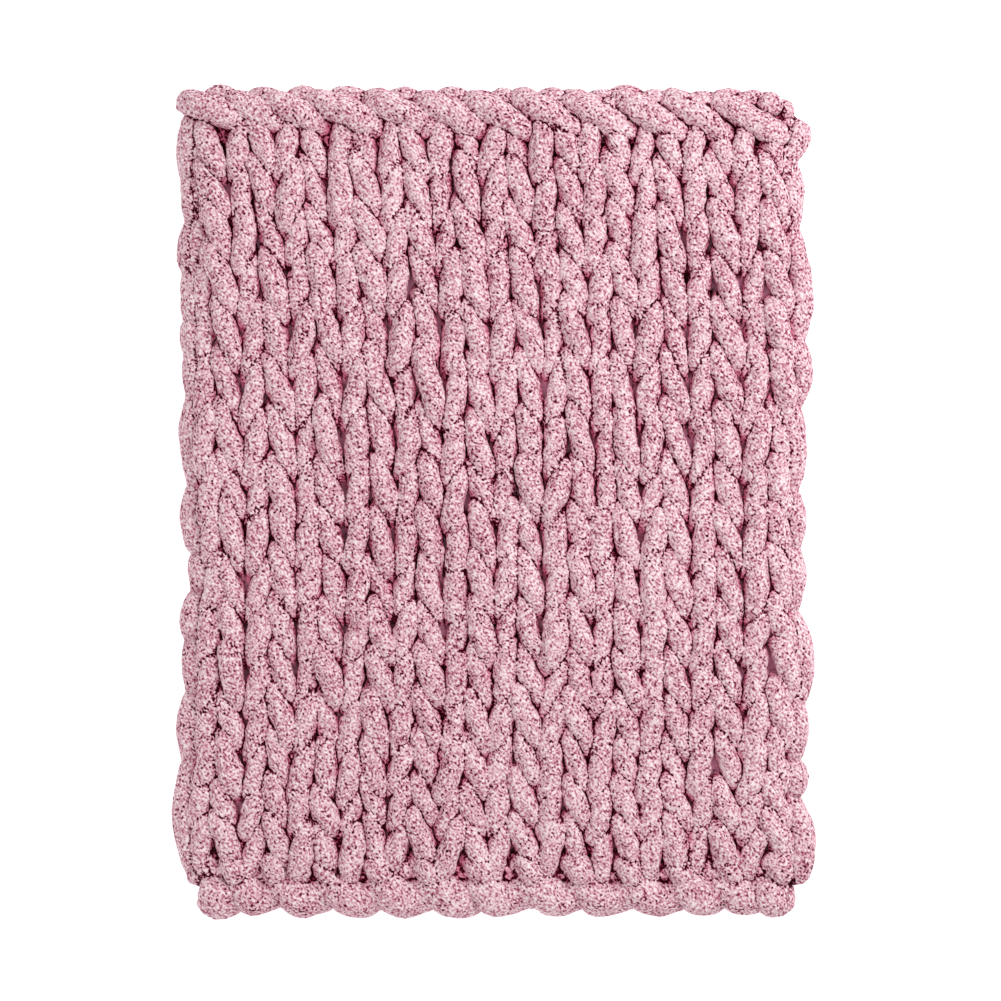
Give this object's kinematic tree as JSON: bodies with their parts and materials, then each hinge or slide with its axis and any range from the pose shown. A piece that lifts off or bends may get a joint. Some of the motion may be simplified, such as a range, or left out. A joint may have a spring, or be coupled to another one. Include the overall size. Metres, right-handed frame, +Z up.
{
  "type": "chunky knit blanket",
  "caption": "Small rectangular throw hand-knitted in stocking stitch from fat pink chenille yarn, laid flat, with a rope-like cast-off edge and a braided cast-on edge.",
  "frame": {"origin": "middle of the flat underside, on the surface the blanket lies on", "axes": "+Z up out of the knit side, +Y along the wales towards the cast-off edge, +X across the wales"},
  "size_m": [0.624, 0.8094, 0.046],
  "materials": {
    "yarn": "deep chenille pile, dull dusty pink with pale tips and burgundy between the strands"
  },
  "bodies": {
    "root": {"knit_blanket": "yarn"}
  },
  "joints": []
}
